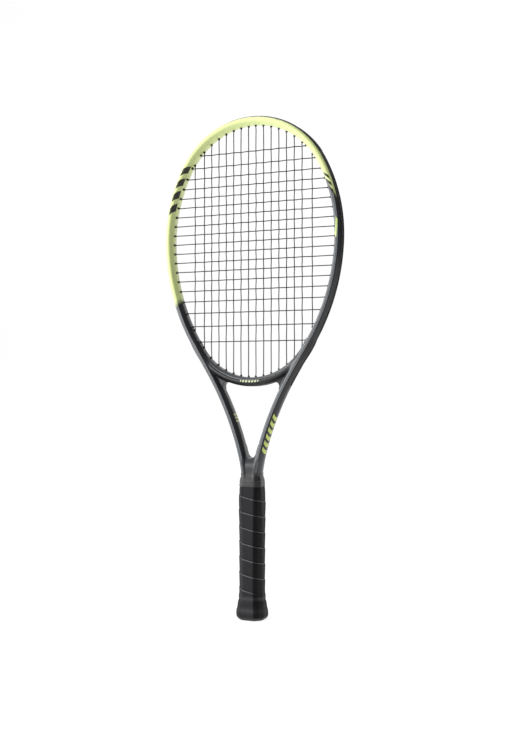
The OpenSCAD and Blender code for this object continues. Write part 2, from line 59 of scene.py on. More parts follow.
# ---------------------------------------------------------------- centre line of the frame tube
HALF_W, HALF_D = 5.75, 11.75
CROWN_R, FLANK_R, SHOULDER_R, THROAT_R = 114.0, 212.0, 280.0, 420.0
A1, A2, A3 = 28.5, -2.0, -31.0
NECK_SLOPE, TUBE_X, LEG = 14.0, 6.75, 52.0
GUARD_PROUD = 0.6
top_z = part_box("bumper_guard")[1].z / MM
crown_c = np.array([0.0, top_z - GUARD_PROUD - HALF_W - CROWN_R])
flank_c = crown_c + polar(CROWN_R - FLANK_R, A1)
shoulder_c = flank_c + polar(FLANK_R - SHOULDER_R, A2)
leg_n = polar(1, A3)
leg_d = np.array([leg_n[1], -leg_n[0]])
leg_start = shoulder_c + SHOULDER_R * leg_n
leg_end = leg_start + LEG * leg_d
throat_c = leg_end + THROAT_R * leg_n
throat_end = throat_c + polar(THROAT_R, 180 - NECK_SLOPE)
NECK_R = (throat_end[0] - TUBE_X) / (1 - math.cos(math.radians(NECK_SLOPE)))
neck_c = throat_end - polar(NECK_R, 180 - NECK_SLOPE)
BRIDGE_R, BRIDGE_H, BRIDGE_HALF_D = 88.0, 12.5, 10.5
bridge_c = np.array([0.0, shoulder_c[1] - math.sqrt(
    (SHOULDER_R - HALF_W - BRIDGE_R) ** 2 - shoulder_c[0] ** 2)])
CROTCH_Z = 219.0

# Lengths along the centre line from the top of the head, where each stretch ends
S1 = CROWN_R * math.radians(90 - A1)
S2 = S1 + FLANK_R * math.radians(A1 - A2)
S3 = S2 + SHOULDER_R * math.radians(A2 - A3)
S4 = S3 + LEG
S5 = S4 + THROAT_R * math.radians(-A3 - NECK_SLOPE)
S6 = S5 + NECK_R * math.radians(NECK_SLOPE)


def rail(x, z):
    """How far places in the bed are out from the right tube's centre line, and along it from the top."""
    def about(c):
        dx, dz = x - c[0], z - c[1]
        return np.hypot(dx, dz), np.degrees(np.arctan2(dz, dx))

    r1, t1 = about(crown_c)
    r2, t2 = about(flank_c)
    r3, t3 = about(shoulder_c)
    r5, t5 = about(throat_c)
    r6, t6 = about(neck_c)
    t5, t6 = t5 % 360, t6 % 360
    along = (x - leg_start[0]) * leg_d[0] + (z - leg_start[1]) * leg_d[1]
    across = (x - leg_start[0]) * leg_n[0] + (z - leg_start[1]) * leg_n[1]
    far = 60.0
    options = [
        (r1 - CROWN_R, CROWN_R * np.radians(90 - t1), (t1 >= A1) & (t1 <= 100)),
        (r2 - FLANK_R, S1 + FLANK_R * np.radians(A1 - t2), (t2 < A1) & (t2 >= A2)),
        (r3 - SHOULDER_R, S2 + SHOULDER_R * np.radians(A2 - t3), (t3 < A2) & (t3 >= A3)),
        (across, S3 + along, (along > 0) & (along <= LEG)),
        (THROAT_R - r5, S4 + THROAT_R * np.radians(t5 - 180 - A3),
         (t5 > 180 + A3) & (t5 <= 180 - NECK_SLOPE)),
        (NECK_R - r6, S5 + NECK_R * np.radians(t6 - 180 + NECK_SLOPE),
         (t6 > 180 - NECK_SLOPE) & (t6 <= 180)),
        (x - TUBE_X, S6 + neck_c[1] - z, (z < neck_c[1]) & (np.abs(x - TUBE_X) < far)),
    ]
    u = np.full(np.broadcast(x, z).shape, far)
    s = np.zeros_like(u)
    for uu, ss, valid in options:
        take = valid & (np.abs(uu) < np.abs(u))
        u = np.where(take, uu, u)
        s = np.where(take, ss, s)
    return u, s


def rail_point(s, u=0.0):
    """Place [x, z] at length s of the right tube and distance u out from it, and the outward angle there."""
    if s <= S1:
        a = 90 - math.degrees(s / CROWN_R)
        return crown_c + polar(CROWN_R + u, a), a
    if s <= S2:
        a = A1 - math.degrees((s - S1) / FLANK_R)
        return flank_c + polar(FLANK_R + u, a), a
    if s <= S3:
        a = A2 - math.degrees((s - S2) / SHOULDER_R)
        return shoulder_c + polar(SHOULDER_R + u, a), a
    return leg_start + (s - S3) * leg_d + u * leg_n, A3


# ---------------------------------------------------------------- moulded frame: one field, blended
def smax(a, b, k):
    """The greater of two fields, with the edge between them rounded over k."""
    return np.maximum(a, b) + np.maximum(k - np.abs(a - b), 0) ** 2 / (4 * k)


def smin(a, b, k):
    """The lesser of two fields, with a fillet of about k where they meet."""
    return -smax(-a, -b, k)


def step(low, high, v):
    """0 below low, 1 above high, and smooth between."""
    t = np.clip((v - low) / (high - low), 0, 1)
    return t * t * (3 - 2 * t)


def facet(u1, v1, u2, v2):
    """The flat face through two corners of a section: its slope in u and in v, and its distance."""
    n = unit(np.array([v1 - v2, u2 - u1]))
    return n[0], n[1], n[0] * u1 + n[1] * v1


LEG_SIDE = facet(3.0, 10.9, 5.75, 3.5)
LEG_EDGE = facet(1.2, 11.75, 3.0, 10.9)
SHAFT_SIDE = facet(4.1, 9.9, 5.85, 2.0)
SHAFT_EDGE = facet(1.0, 11.8, 4.1, 9.9)


def tube(u, v, s):
    """Section of the tube: flat side, long side facet, narrow edge facet and narrow front."""
    v = np.abs(v)
    mix = step(S5 - 25, S6 - 10, s) * (u > 0)
    w = np.abs(u)
    side = [a + (b - a) * mix for a, b in zip(LEG_SIDE, SHAFT_SIDE)]
    edge = [a + (b - a) * mix for a, b in zip(LEG_EDGE, SHAFT_EDGE)]
    f = smax(w - HALF_W, side[0] * w + side[1] * v - side[2], 0.9)
    f = smax(f, edge[0] * w + edge[1] * v - edge[2], 0.35)
    return smax(f, v - HALF_D, 0.25)


GROOVE_DEPTH, GROOVE_HALF = 2.4, 3.5
SEAT = HALF_W - GROOVE_DEPTH
STRIP_END = S3 + 66.5
WEB_TOP, BRIDGE_LOW, BRIDGE_TOP = 236, 290, 420
BEVEL_FROM = 5.0
upper_rise, upper_run, _ = np.abs(facet(0.0, BEVEL_FROM, 3.6, 10.0))


def frame_field(x, y, z):
    """Negative inside the frame moulding. x may be on either side."""
    v = np.abs(y)
    ax = np.abs(x)
    u, s = rail(ax, z)
    f = tube(u, v, s)
    # the two legs and the web that joins them
    low = z < 300
    ul, sl = rail(-ax, z)
    f = np.where(low, smin(f, tube(ul, v, sl), 1.2), f)
    crotch = np.maximum(smin(np.abs(u) - HALF_W, z - CROTCH_Z + 1.2, 7.0), u)
    web = smax(crotch, v - 11.3 + 5.5 * step(206, 226, z), 0.5)
    f = np.where(low, smin(f, np.maximum(web, z - WEB_TOP), 1.0), f)
    # bridge, with a broad bevel above and a narrow one below
    r = np.hypot(ax, z - bridge_c[1])
    angle = np.degrees(np.arctan2(ax, bridge_c[1] - z))
    t = r - BRIDGE_R
    b = smax(-t, t - BRIDGE_H, 0.3)
    upper = -upper_rise * t + upper_run * v - upper_run * BEVEL_FROM
    lower = (t - BRIDGE_H) * 0.8 + (v - BEVEL_FROM) * 0.6
    edge = (v - 9.6) * 0.9 + (np.abs(t - 6.4) - 3.2) * 0.43
    b = smax(smax(b, upper, 0.8), lower, 0.8)
    b = smax(smax(b, edge, 0.4), v - BRIDGE_HALF_D, 0.3)
    b = smax(b, angle - 66, 1.0)
    f = np.where(z < BRIDGE_TOP, smin(f, b, 1.6), f)
    # recessed web in the corner between bridge and leg
    g = smax(gusset(ax, z), v - 5.6, 0.5)
    f = np.where((z > BRIDGE_LOW) & (z < 400), smin(f, g, 1.4), f)
    # grooves that the strips lie in
    groove = np.maximum(np.maximum(SEAT - u, v - GROOVE_HALF), s - STRIP_END)
    f = smax(f, -groove, 0.15)
    under = np.maximum(BRIDGE_H - GROOVE_DEPTH - t, t - BRIDGE_H - 1.2)
    under = np.maximum(under, np.maximum(v - GROOVE_HALF, angle - 32))
    return smax(f, np.where(z < BRIDGE_TOP, -under, -9.0), 0.15)


GUSSET_R = 6.0
reach = GUSSET_R + HALF_W
g_line = leg_start - reach * leg_n
g_b = np.dot(g_line - bridge_c, leg_d)
g_c = np.dot(g_line - bridge_c, g_line - bridge_c) - (BRIDGE_R + BRIDGE_H + GUSSET_R) ** 2
gusset_c = g_line + (math.sqrt(g_b * g_b - g_c) - g_b) * leg_d


def gusset(x, z):
    """The corner web in the bed's plane: between two tangents, outside the round of the corner."""
    corners = [gusset_c, gusset_c + reach * leg_n, gusset_c + reach * leg_n - 30 * leg_d,
               gusset_c + reach * unit(bridge_c - gusset_c)]
    centre = sum(corners) / 4
    d = GUSSET_R - np.hypot(x - gusset_c[0], z - gusset_c[1])
    for p, q in zip(corners, corners[1:] + corners[:1]):
        n = unit(np.array([q[1] - p[1], p[0] - q[0]]))
        if np.dot(n, centre - p) > 0:
            n = -n
        d = smax(d, (x - p[0]) * n[0] + (z - p[1]) * n[1], 0.2)
    return d


def surface_nets(field, low, high, h):
    """Quads on the zero surface of a field that is the same on both sides of x = 0."""
    nx = int(math.ceil(high[0] / h)) + 1
    xs = (np.arange(nx) + 0.5) * h
    ys = np.arange(low[1], high[1] + h, h)
    zs = np.arange(low[2], high[2] + h, h)
    half = field(xs[:, None, None], ys[None, :, None], zs[None, None, :])
    F = np.concatenate([half[::-1], half]).astype(np.float64)
    xs = np.concatenate([-xs[::-1], xs])
    grid = [xs, ys, zs]
    shape = F.shape
    cells = np.array([n - 1 for n in shape])
    inside = F < 0
    crossings, keys, quads = [], [], []
    for axis in range(3):
        lo = [slice(None)] * 3
        hi = [slice(None)] * 3
        lo[axis], hi[axis] = slice(0, -1), slice(1, None)
        cross = inside[tuple(lo)] != inside[tuple(hi)]
        idx = np.argwhere(cross)
        b, c = (axis + 1) % 3, (axis + 2) % 3
        idx = idx[(idx[:, b] > 0) & (idx[:, c] > 0) & (idx[:, b] < cells[b]) & (idx[:, c] < cells[c])]
        nxt = idx.copy()
        nxt[:, axis] += 1
        f0, f1 = F[tuple(idx.T)], F[tuple(nxt.T)]
        t = f0 / (f0 - f1)
        p = np.stack([grid[k][idx[:, k]] for k in range(3)], 1)
        p[:, axis] += t * h
        four = []
        for db, dc in ((-1, -1), (0, -1), (0, 0), (-1, 0)):
            cell = idx.copy()
            cell[:, b] += db
            cell[:, c] += dc
            key = (cell[:, 0] * cells[1] + cell[:, 1]) * cells[2] + cell[:, 2]
            four.append(key)
            keys.append(key)
            crossings.append(p)
        quad = np.stack(four, 1)
        flip = f0 > 0
        quad[flip] = quad[flip][:, ::-1]
        quads.append(quad)
    keys, crossings, quads = np.concatenate(keys), np.concatenate(crossings), np.concatenate(quads)
    found, inverse = np.unique(keys, return_inverse=True)
    count = np.bincount(inverse)
    points = np.stack([np.bincount(inverse, crossings[:, k]) / count for k in range(3)], 1)
    faces = np.searchsorted(found, quads)
    return points, faces


def gradient(field, p, eps=0.06):
    """The field's slope at each point."""
    out = np.empty_like(p)
    for k in range(3):
        d = np.zeros(3)
        d[k] = eps
        a, b = p + d, p - d
        out[:, k] = (field(a[:, 0], a[:, 1], a[:, 2]) - field(b[:, 0], b[:, 1], b[:, 2])) / (2 * eps)
    return out


# ---------------------------------------------------------------- meshes
def make(name, points, faces, body="racket", nodes=(), slot=None, material=None, scale=MM):
    """A piece from points and faces, on its body and in place of its CAD nodes."""
    mesh = bpy.data.meshes.new(name)
    if isinstance(faces, np.ndarray) and faces.ndim == 2:
        n, k = faces.shape
        mesh.vertices.add(len(points))
        mesh.vertices.foreach_set("co", (np.asarray(points, np.float32) * scale).ravel())
        mesh.loops.add(n * k)
        mesh.loops.foreach_set("vertex_index", faces.astype(np.int32).ravel())
        mesh.polygons.add(n)
        mesh.polygons.foreach_set("loop_start", np.arange(0, n * k, k, dtype=np.int32))
        mesh.polygons.foreach_set("loop_total", np.full(n, k, np.int32))
        mesh.update(calc_edges=True)
        mesh.validate()
    else:
        corners = [tuple(float(c) * scale for c in p) for p in points]
        mesh.from_pydata(corners, [], [list(map(int, f)) for f in faces])
        mesh.validate()
        mesh.update()
    mesh.polygons.foreach_set("use_smooth", np.full(len(mesh.polygons), True))
    piece = bpy.data.objects.new(name, mesh)
    bpy.context.scene.collection.objects.link(piece)
    if material:
        mesh.materials.append(material)
    if body:
        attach(piece, body)
    if nodes:
        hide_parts(*nodes)
    return piece


def sharpen(piece, degrees):
    """Keeps the edges that turn by more than this sharp."""
    piece.data.set_sharp_from_angle(angle=math.radians(degrees))


def finish(piece, degrees):
    """Turns every face outward and keeps the edges sharp."""
    bm = bmesh.new()
    bm.from_mesh(piece.data)
    bmesh.ops.recalc_face_normals(bm, faces=bm.faces)
    bm.to_mesh(piece.data)
    bm.free()
    sharpen(piece, degrees)


def set_attributes(piece, values):
    """Gives the piece's vertices named numbers, which its material reads."""
    for name, value in values.items():
        layer = piece.data.attributes.new(name, "FLOAT", "POINT")
        layer.data.foreach_set("value", np.ascontiguousarray(value, np.float32).ravel())


def grid_faces(rows, cols):
    """Quads between rows of points, with the last column joined to the first."""
    i = np.arange(rows - 1)[:, None]
    j = np.arange(cols)[None, :]
    k = (j + 1) % cols
    return np.stack([i * cols + j, i * cols + k, (i + 1) * cols + k, (i + 1) * cols + j], -1).reshape(-1, 4)


class Parts:
    """Collects several closed pieces of one mesh."""

    def __init__(self):
        self.points, self.faces, self.count = [], [], 0

    def add(self, points, faces):
        self.points.append(np.asarray(points, float))
        self.faces += [[int(v) + self.count for v in f] for f in faces]
        self.count += len(points)

    def tube(self, rings):
        """A closed outline carried along a way, rows x columns x 3, with both ends capped."""
        rings = np.asarray(rings)
        rows, cols = rings.shape[:2]
        faces = grid_faces(rows, cols).tolist()
        faces += [list(range(cols))[::-1], [(rows - 1) * cols + j for j in range(cols)]]
        self.add(rings.reshape(-1, 3), faces)

    def make(self, name, **words):
        return make(name, np.concatenate(self.points), self.faces, **words)


def make_tube(name, rings, **words):
    """A piece that is one tube."""
    parts = Parts()
    parts.tube(rings)
    return parts.make(name, **words)


# ---------------------------------------------------------------- materials
def rgb(r, g, b):
    """sRGB numbers from 0 to 255 as a linear colour."""
    out = []
    for c in (r, g, b):
        c /= 255
        out.append(c / 12.92 if c <= 0.04045 else ((c + 0.055) / 1.055) ** 2.4)
    return (*out, 1.0)


class Nodes:
    """Short words for building a material's node tree."""

    def __init__(self, name):
        self.material = bpy.data.materials.new(name)
        self.material.use_nodes = True
        self.tree = self.material.node_tree
        self.tree.nodes.clear()
        self.out = self.add("ShaderNodeOutputMaterial")
        self.shader = self.add("ShaderNodeBsdfPrincipled")
        self.tree.links.new(self.shader.outputs[0], self.out.inputs[0])

    def add(self, kind, **words):
        node = self.tree.nodes.new(kind)
        for key, value in words.items():
            setattr(node, key, value)
        return node

    def plug(self, value, socket):
        if isinstance(value, bpy.types.NodeSocket):
            self.tree.links.new(value, socket)
        else:
            socket.default_value = value

    def math(self, operation, a, b=0.0, c=0.0, clamp=False):
        node = self.add("ShaderNodeMath", operation=operation, use_clamp=clamp)
        self.plug(a, node.inputs[0])
        self.plug(b, node.inputs[1])
        if len(node.inputs) > 2:
            self.plug(c, node.inputs[2])
        return node.outputs[0]

    def ramp(self, value, low, high, to_low=0.0, to_high=1.0, smooth=True):
        node = self.add("ShaderNodeMapRange", interpolation_type="SMOOTHSTEP" if smooth else "LINEAR")
        self.plug(value, node.inputs[0])
        for k, v in zip((1, 2, 3, 4), (low, high, to_low, to_high)):
            self.plug(v, node.inputs[k])
        return node.outputs[0]

    def mix(self, factor, a, b):
        node = self.add("ShaderNodeMix", data_type="RGBA")
        self.plug(factor, node.inputs[0])
        self.plug(a, node.inputs[6])
        self.plug(b, node.inputs[7])
        return node.outputs[2]

    def place(self):
        return self.add("ShaderNodeTexCoord").outputs["Object"]

    def split(self, vector):
        node = self.add("ShaderNodeSeparateXYZ")
        self.plug(vector, node.inputs[0])
        return node.outputs

    def attribute(self, name):
        return self.add("ShaderNodeAttribute", attribute_name=name).outputs["Fac"]

    def band(self, value, low, high, soft):
        """1 between low and high, with soft ends."""
        up = self.ramp(value, low - soft, low + soft)
        down = self.ramp(value, high - soft, high + soft)
        return self.math("MULTIPLY", up, self.math("SUBTRACT", 1.0, down))

    def bars(self, value, start, pitch, low, high, soft):
        """1 on bars that repeat each pitch from start, from low to high of the pitch."""
        turn = self.math("FRACT", self.math("DIVIDE", self.math("SUBTRACT", value, start), pitch))
        return self.band(turn, low, high, soft)

    def all_of(self, first, *others):
        for other in others:
            first = self.math("MULTIPLY", first, other)
        return first

    def noise(self, vector, scale, detail=3.0):
        node = self.add("ShaderNodeTexNoise")
        self.plug(vector, node.inputs["Vector"])
        node.inputs["Scale"].default_value = scale
        node.inputs["Detail"].default_value = detail
        return node.outputs["Fac"]

    def cells(self, vector, scale):
        node = self.add("ShaderNodeTexVoronoi")
        self.plug(vector, node.inputs["Vector"])
        node.inputs["Scale"].default_value = scale
        return node.outputs["Distance"]

    def bump(self, height, strength, distance):
        node = self.add("ShaderNodeBump")
        node.inputs["Strength"].default_value = strength
        node.inputs["Distance"].default_value = distance
        self.plug(height, node.inputs["Height"])
        self.tree.links.new(node.outputs[0], self.shader.inputs["Normal"])

    def set(self, **words):
        for key, value in words.items():
            self.plug(value, self.shader.inputs[key.replace("_", " ")])


def plastic(name, colour, rough, grain=4000.0, depth=0.00003):
    """Moulded or wrapped material with an uneven tone, patchy gloss and a fine grain."""
    n = Nodes(name)
    p = n.place()
    tone = n.noise(p, 60.0, 4.0)
    dark = tuple(c * 0.8 for c in colour[:3]) + (1,)
    light = tuple(c * 1.25 for c in colour[:3]) + (1,)
    n.set(Base_Color=n.mix(tone, dark, light))
    n.set(Roughness=n.ramp(n.noise(p, 350.0), 0.3, 0.7, rough - 0.05, rough + 0.07))
    n.bump(n.noise(p, grain, 2.0), 0.25, depth)
    return n.material


def lime_share(n, p, x, z, u):
    """How lime the head is: down to a soft end that is lower on the left than on the right."""
    speck = n.math("MULTIPLY", n.math("SUBTRACT", n.noise(p, 900.0, 2.0), 0.5), 0.004)
    left = n.math("ADD", n.math("MULTIPLY_ADD", u, 0.0009, z), speck)
    right = n.math("ADD", n.math("MULTIPLY_ADD", u, 0.0034, z), speck)
    is_right = n.ramp(x, -0.002, 0.002, smooth=False)
    return n.math("ADD", n.math("MULTIPLY", n.ramp(left, 0.426, 0.437), n.math("SUBTRACT", 1.0, is_right)),
                  n.math("MULTIPLY", n.ramp(right, 0.575, 0.587), is_right))


def frame_paint():
    """Dark grey lacquer that turns lime on the head, with plain accent bars, and painted light: pale facets
    and a glint line where the light from the left falls, and the bridge's upper bevel painted pale and its
    lower bevel dark.
    """
    n = Nodes("frame_paint")
    p = n.place()
    x, y, z = n.split(p)
    s, u, on_tube = n.attribute("rail_s"), n.attribute("rail_u"), n.attribute("on_tube")
    arch = n.attribute("bridge_t")
    forward = n.math("MULTIPLY", y, -1000.0)
    deep = n.math("MULTIPLY", n.math("ABSOLUTE", y), 1000.0)
    wide = n.math("ABSOLUTE", s)
    front = n.math("LESS_THAN", y, 0.004)
    grey = n.mix(n.noise(p, 2500.0, 2.0), rgb(38, 39, 43), rgb(48, 49, 53))

    # painted light: the narrow facets along the front and back are painted pale where the light from the left
    # falls on them, with a fine painted highlight line where they meet the sides
    turned = n.math("MULTIPLY", n.math("SIGN", x), n.math("MULTIPLY", n.math("SIGN", y), -1.0))
    side = n.math("MULTIPLY", u, turned)
    off_shaft = n.ramp(wide, S5 - 2, S5 + 8, 1.0, 0.0)
    upper = n.math("ADD", off_shaft, n.math("GREATER_THAN", u, 0.9), clamp=True)
    lit = n.math("ADD", n.ramp(side, 1.35, 1.6, 1.0, 0.0), n.ramp(wide, S5 - 2, S5 + 8), clamp=True)
    edges = n.all_of(n.ramp(deep, 10.35, 10.75), upper, on_tube, lit)
    grey = n.mix(edges, grey, n.mix(n.noise(p, 2500.0, 2.0), rgb(80, 83, 86), rgb(92, 95, 98)))
    # painted highlight: a fine bright line where the narrow facets meet the sides
    painted_glint_line = n.all_of(n.band(side, 0.9, 1.6, 0.12), n.ramp(deep, 10.2, 10.5), on_tube,
                   n.math("LESS_THAN", wide, S5))
    grey = n.mix(n.math("MULTIPLY", painted_glint_line, 0.8), grey, rgb(140, 143, 146))
    lime = n.mix(n.noise(p, 18.0, 3.0), rgb(220, 233, 158), rgb(225, 237, 166))
    colour = n.mix(lime_share(n, p, x, z, u), grey, lime)

    # black outer sides of the head and dark outer sides of the legs
    outside = n.all_of(n.ramp(u, 4.0, 4.3), n.ramp(wide, S3 - 20, S3 + 30, 1.0, 0.0), on_tube)
    colour = n.mix(outside, colour, rgb(9, 9, 11))
    below = n.all_of(n.ramp(u, 1.5, 1.8), n.ramp(wide, S3 - 60, S3), n.ramp(wide, S5 - 30, S5, 1.0, 0.0),
                     on_tube, n.math("SUBTRACT", 1.0, edges))
    colour = n.mix(below, colour, rgb(15, 15, 17))

    # painted light on the bridge: its upper bevel painted pale as if lit from above, a painted highlight line
    # under it, its front in darker paint, and its lower bevel painted dark as shade
    on_bridge = n.all_of(n.math("SUBTRACT", 1.0, on_tube), n.math("GREATER_THAN", z, 0.300))
    for share, shade in ((n.band(arch, -2.0, 3.4, 0.2), (80, 83, 86)),
                         (n.ramp(arch, 3.5, 3.7), (24, 25, 27)),
                         (n.band(arch, 3.0, 3.7, 0.12), (120, 123, 126)),
                         (n.ramp(arch, 9.2, 9.6), (18, 18, 20))):
        colour = n.mix(n.all_of(share, on_bridge), colour, rgb(*shade))

    # four dark bars on the lime, on the upper left of the head
    slanted = n.math("MULTIPLY_ADD", u, 1.4, s)
    marks = n.all_of(n.bars(slanted, -192.0, 19.0, 0.14, 0.74, 0.012), n.band(slanted, -192.0, -116.0, 0.2),
                     n.band(u, -5.9, 1.0, 0.12), n.band(forward, 4.6, 12.5, 0.12))
    colour = n.mix(marks, colour, rgb(52, 54, 40))
    # three short dark bars and a lime leaf on the upper right
    slanted = n.math("MULTIPLY_ADD", u, -1.6, s)
    marks = n.all_of(n.bars(slanted, 147.0, 10.0, 0.12, 0.66, 0.015), n.band(slanted, 147.0, 177.0, 0.2),
                     n.band(u, -2.6, 2.4, 0.12), front)
    colour = n.mix(marks, colour, rgb(48, 50, 38))
    leaf = n.all_of(n.band(slanted, 208.0, 236.0, 0.8),
                    n.band(n.math("MULTIPLY_ADD", s, 0.1, u), 20.3, 23.2, 0.25), front)
    colour = n.mix(leaf, colour, rgb(190, 208, 126))
    # slanted lime bars on the outer side of the right leg
    slanted = n.math("MULTIPLY_ADD", u, -2.2, s)
    marks = n.all_of(n.bars(slanted, 478.0, 9.6, 0.1, 0.66, 0.015), n.band(slanted, 478.0, 535.6, 0.2),
                     n.band(forward, -2.6, 9.4, 0.12), n.math("GREATER_THAN", u, 1.5),
                     n.math("GREATER_THAN", s, 0.0))
    colour = n.mix(marks, colour, rgb(205, 222, 110))
    # a small pale mark on the inner side of the left leg
    marks = n.all_of(n.bars(s, -504.0, 4.6, 0.15, 0.7, 0.02), n.band(s, -504.0, -490.2, 0.2),
                     n.band(forward, -5.0, 4.5, 0.12), n.math("LESS_THAN", u, -2.0))
    colour = n.mix(marks, colour, rgb(190, 205, 120))
    # a row of pale dashes on the front of the bridge
    arc = n.math("MULTIPLY", x, 1000.0)
    leaning = n.math("MULTIPLY_ADD", arch, 0.35, arc)
    dash = n.all_of(n.bars(leaning, -13.5, 4.5, 0.12, 0.74, 0.03), n.band(arc, -13.5, 13.5, 0.2),
                    n.band(arch, 4.2, 6.8, 0.15), n.math("LESS_THAN", y, -0.009))
    colour = n.mix(dash, colour, rgb(205, 214, 168))

    n.set(Base_Color=colour)
    n.set(Roughness=n.ramp(n.noise(p, 500.0), 0.3, 0.7, 0.3, 0.38))
    n.shader.inputs["Specular IOR Level"].default_value = 0.36
    n.shader.inputs["Coat Weight"].default_value = 0.12
    n.shader.inputs["Coat Roughness"].default_value = 0.12
    n.bump(n.noise(p, 1400.0, 2.0), 0.08, 0.00004)
    return n.material


def grip_leather():
    """Black synthetic leather with fine grain and rows of small holes, and painted light: seams painted dark
    as shade, pale wrap edges and bands near the butt as painted highlights, and the slanted faces painted
    darker as shade.
    """
    n = Nodes("grip_leather")
    p = n.place()
    flat = n.mix(n.noise(p, 40.0, 4.0), rgb(33, 33, 35), rgb(42, 42, 44))
    # painted shade: the slanted faces are darker, most on the front right and back left
    painted_shade = n.mix(n.noise(p, 40.0, 4.0), rgb(13, 13, 14), rgb(19, 19, 20))
    colour = n.mix(n.attribute("corner"), flat, painted_shade)
    # painted shade: the crease at each wrap seam is darkened
    colour = n.mix(n.math("MULTIPLY", n.attribute("seam_shade"), 0.8), colour, rgb(10, 10, 11))
    # painted highlight: a pale line along each wrap edge and two painted sheen bands near the butt, weaker on
    # the shaded faces
    painted_highlight = n.math("MULTIPLY", n.attribute("highlight_ridge"), n.ramp(n.attribute("corner"), 0.0, 1.0, 0.8, 0.3))
    colour = n.mix(painted_highlight, colour, rgb(120, 120, 124))
    row, turn = n.attribute("wrap_row"), n.attribute("wrap_turn")
    a = n.math("SUBTRACT", n.math("FRACT", n.math("MULTIPLY", row, 7.0)), 0.5)
    b = n.math("SUBTRACT", n.math("FRACT", n.math("MULTIPLY", turn, 0.42)), 0.5)
    away = n.math("SQRT", n.math("ADD", n.math("POWER", a, 2.0), n.math("POWER", b, 2.0)))
    hole = n.math("MULTIPLY", n.ramp(away, 0.1, 0.2, 1.0, 0.0), 0.6)
    colour = n.mix(n.math("MULTIPLY", hole, 0.5), colour, rgb(14, 14, 15))
    n.set(Base_Color=colour)
    n.set(Roughness=n.ramp(n.noise(p, 250.0, 4.0), 0.3, 0.7, 0.5, 0.66))
    n.shader.inputs["Specular IOR Level"].default_value = 0.12
    grain = n.math("ADD", n.math("MULTIPLY", n.cells(p, 1700.0), 0.5), n.noise(p, 500.0, 5.0))
    n.bump(n.math("SUBTRACT", grain, hole), 0.35, 0.00022)
    return n.material


def string_gut():
    """Dark grey string with a fine uneven skin."""
    n = Nodes("string_gut")
    p = n.place()
    n.set(Base_Color=n.mix(n.noise(p, 300.0, 3.0), rgb(24, 24, 26), rgb(36, 36, 39)))
    n.set(Roughness=n.ramp(n.noise(p, 900.0), 0.3, 0.7, 0.28, 0.4))
    n.bump(n.noise(p, 2600.0, 2.0), 0.15, 0.00003)
    return n.material


def staple_steel():
    """Bright drawn wire."""
    n = Nodes("staple_steel")
    p = n.place()
    n.set(Base_Color=n.mix(n.noise(p, 900.0), rgb(170, 170, 174), rgb(205, 205, 208)))
    n.shader.inputs["Metallic"].default_value = 1.0
    n.set(Roughness=n.ramp(n.noise(p, 1500.0), 0.3, 0.7, 0.25, 0.4))
    return n.material


PAINT = frame_paint()
NYLON = plastic("black_nylon", rgb(22, 22, 23), 0.38)
CAP = plastic("cap_plastic", rgb(20, 20, 21), 0.42, 3000.0, 0.00005)
FOAM = plastic("pallet_foam", rgb(40, 40, 42), 0.8, 900.0, 0.0002)
TAPE = plastic("tape_vinyl", rgb(36, 36, 38), 0.4, 1500.0, 0.00004)
STRING = string_gut()
LEATHER = grip_leather()
STEEL = staple_steel()


# ---------------------------------------------------------------- frame
CELL = 0.95
SHAFT_BOTTOM = 176.3
points, faces = surface_nets(frame_field, (0, -13.0, SHAFT_BOTTOM), (133.0, 13.0, top_z + 1), CELL)
# the points move on to the true surface
for _ in range(3):
    g = gradient(frame_field, points)
    f = frame_field(points[:, 0], points[:, 1], points[:, 2])
    move = -(f / np.maximum((g * g).sum(1), 0.25))[:, None] * g
    points = points + np.clip(move, -0.5, 0.5)
normals = gradient(frame_field, points)
normals /= np.maximum(np.linalg.norm(normals, axis=1), 1e-9)[:, None]
frame_piece = make("frame", points, faces, nodes=("frame_hoop", "throat_bridge"), slot="frame_paint",
                   material=PAINT)
used = np.empty(len(frame_piece.data.vertices) * 3, np.float32)
frame_piece.data.vertices.foreach_get("co", used)
used = used.reshape(-1, 3) / MM
u, s = rail(np.abs(used[:, 0]), used[:, 2])
set_attributes(frame_piece, {
    "rail_s": s * np.sign(used[:, 0]),
    "rail_u": u,
    "on_tube": np.abs(u) < 7,
    "bridge_t": np.hypot(used[:, 0], used[:, 2] - bridge_c[1]) - BRIDGE_R,
})
if len(frame_piece.data.vertices) == len(normals):
    frame_piece.data.normals_split_custom_set_from_vertices(normals.tolist())


# ---------------------------------------------------------------- holes and string places
MAINS, BRIDGE_MAINS, CROSSES = 8, 4, 19
PITCH, OUTER_GAP, MIDDLE_Z, CROSS_PITCH, UPPER, LOWER = 11.25, 14.5, 515.4, 12.9, 7.0, 21.4
LIP, GAP = 1.2, 0.6
OFFSET = 0.9
BEND = HALF_W + LIP + GAP
BRIDGE_BEND = BRIDGE_H / 2 + LIP + GAP


def main_x(k):
    return PITCH * (k - 0.5) + (OUTER_GAP - PITCH if k == MAINS else 0)


def cross_z(j):
    away = (CROSSES + 1) / 2 - j
    t = abs(away) / ((CROSSES - 1) / 2)
    extra = UPPER * t ** 8 if away > 0 else LOWER * t ** 4.5
    return MIDDLE_Z + math.copysign(abs(away) * CROSS_PITCH + extra, away) if away else MIDDLE_Z


def crown_hole(x):
    r = CROWN_R - BEND
    h = math.sqrt(r * r - x * x)
    return np.array([x, crown_c[1] + h]), math.degrees(math.atan2(h, x)), BEND


